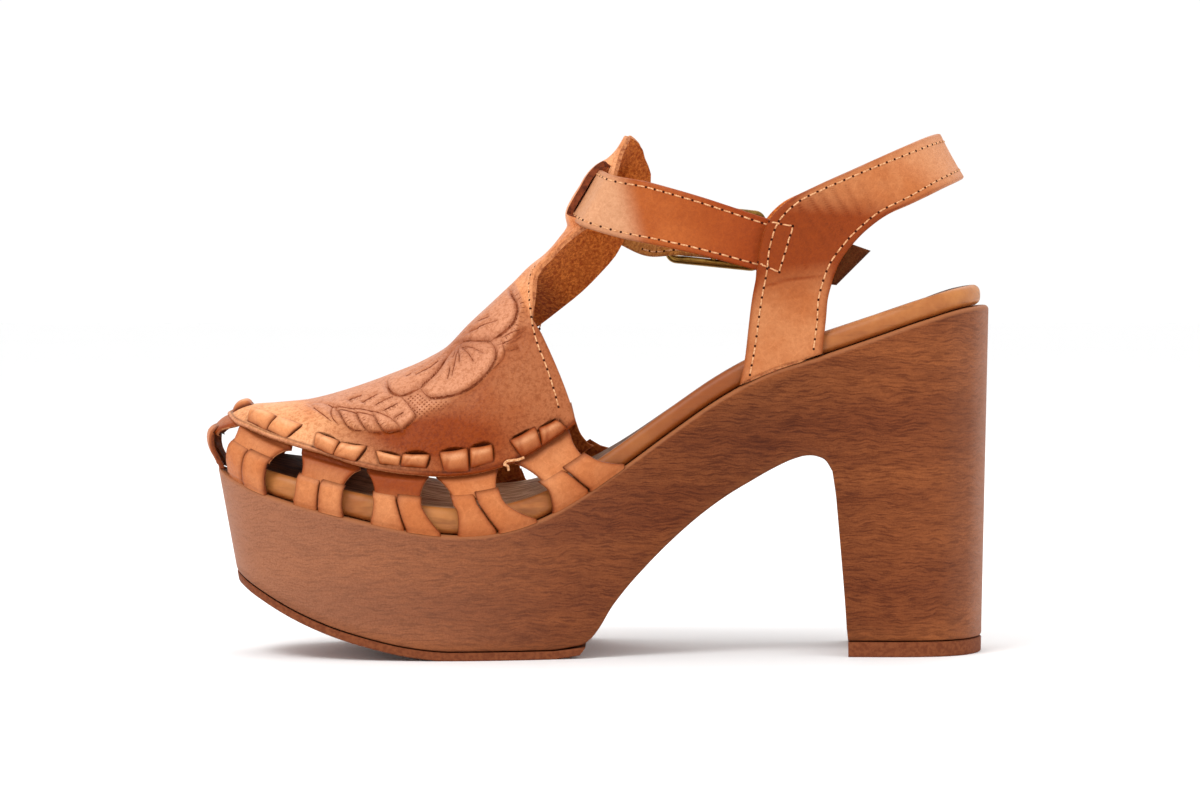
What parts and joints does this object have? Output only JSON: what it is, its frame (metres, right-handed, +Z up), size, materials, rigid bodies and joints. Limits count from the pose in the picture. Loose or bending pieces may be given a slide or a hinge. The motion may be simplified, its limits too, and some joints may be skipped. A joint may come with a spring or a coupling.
{
  "type": "heeled platform clog sandal",
  "caption": "Right platform clog sandal: carved block-heel sole, tooled leather vamp laced at its edge, T-strap, heel sling and buckled ankle strap.",
  "frame": {"origin": "on the floor under the centre of the shoe's bounding box", "axes": "+X from toe to heel along the shoe, +Y to the lateral side, +Z up"},
  "size_m": [0.2404, 0.0932, 0.1601],
  "materials": {
    "sole_wood": "satin brown stained wood with fine streaks",
    "tread": "matt brown rubber",
    "top_lift": "matt brown rubber",
    "footbed": "ochre leather edge with a dark brown sock",
    "upper_leather": "tooled vegetable-tanned leather, burnished tan",
    "sling_leather": "smooth tan leather with pale stitching",
    "strap_leather": "smooth tan leather with pale stitching",
    "buckle_strap_leather": "smooth reddish tan leather",
    "buckle_frame": "polished old brass",
    "buckle_prong": "polished old brass"
  },
  "bodies": {
    "root": {"platform_sole": "sole_wood", "outsole_forefoot": "tread", "heel_top_lift": "top_lift", "insole": "footbed", "upper": "upper_leather", "heel_sling": "sling_leather", "ankle_strap": "strap_leather", "buckle_strap": "buckle_strap_leather", "buckle_frame": "buckle_frame", "buckle_prong": "buckle_prong"}
  },
  "joints": []
}
